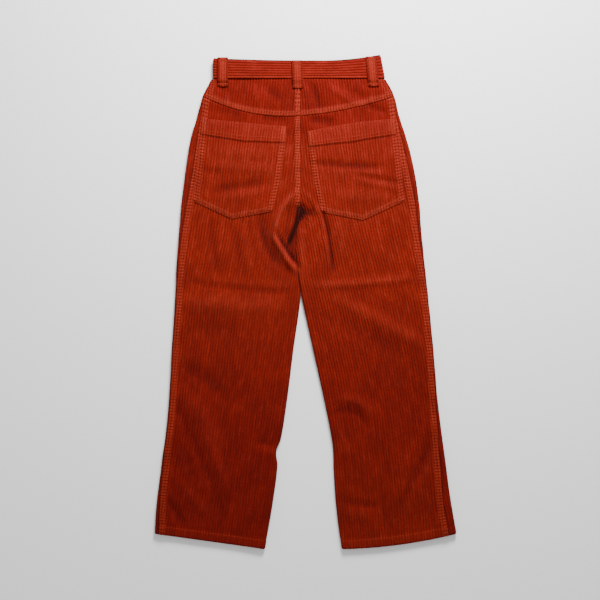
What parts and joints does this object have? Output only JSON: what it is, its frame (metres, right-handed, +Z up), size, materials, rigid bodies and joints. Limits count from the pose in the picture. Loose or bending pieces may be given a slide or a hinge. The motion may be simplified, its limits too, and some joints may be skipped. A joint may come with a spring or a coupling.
{
  "type": "corduroy trousers",
  "caption": "Straight-leg child's trousers in wide-wale corduroy, laid flat with the back up, with waistband, belt loops, yokes and patch pockets",
  "frame": {"origin": "middle of the outline on the surface that the trousers lie on", "axes": "+Y from the hems to the waist, +X to the wearer's right, +Z up through the back of the trousers"},
  "size_m": [0.4496, 0.74, 0.0131],
  "materials": {
    "corduroy": "rust-red cotton corduroy with wide wales, a cut pile that is soft and matt, and thread of the same colour",
    "button": "dark brown sew-through button"
  },
  "bodies": {
    "root": {"back_left": "corduroy", "back_right": "corduroy", "front_left": "corduroy", "front_right": "corduroy", "yoke_left": "corduroy", "yoke_right": "corduroy", "pocket_left": "corduroy", "pocket_right": "corduroy", "waistband": "corduroy", "loop_back_left": "corduroy", "loop_back_centre": "corduroy", "loop_back_right": "corduroy", "loop_front_left": "corduroy", "loop_front_right": "corduroy", "fly": "corduroy", "button": "button"}
  },
  "joints": []
}
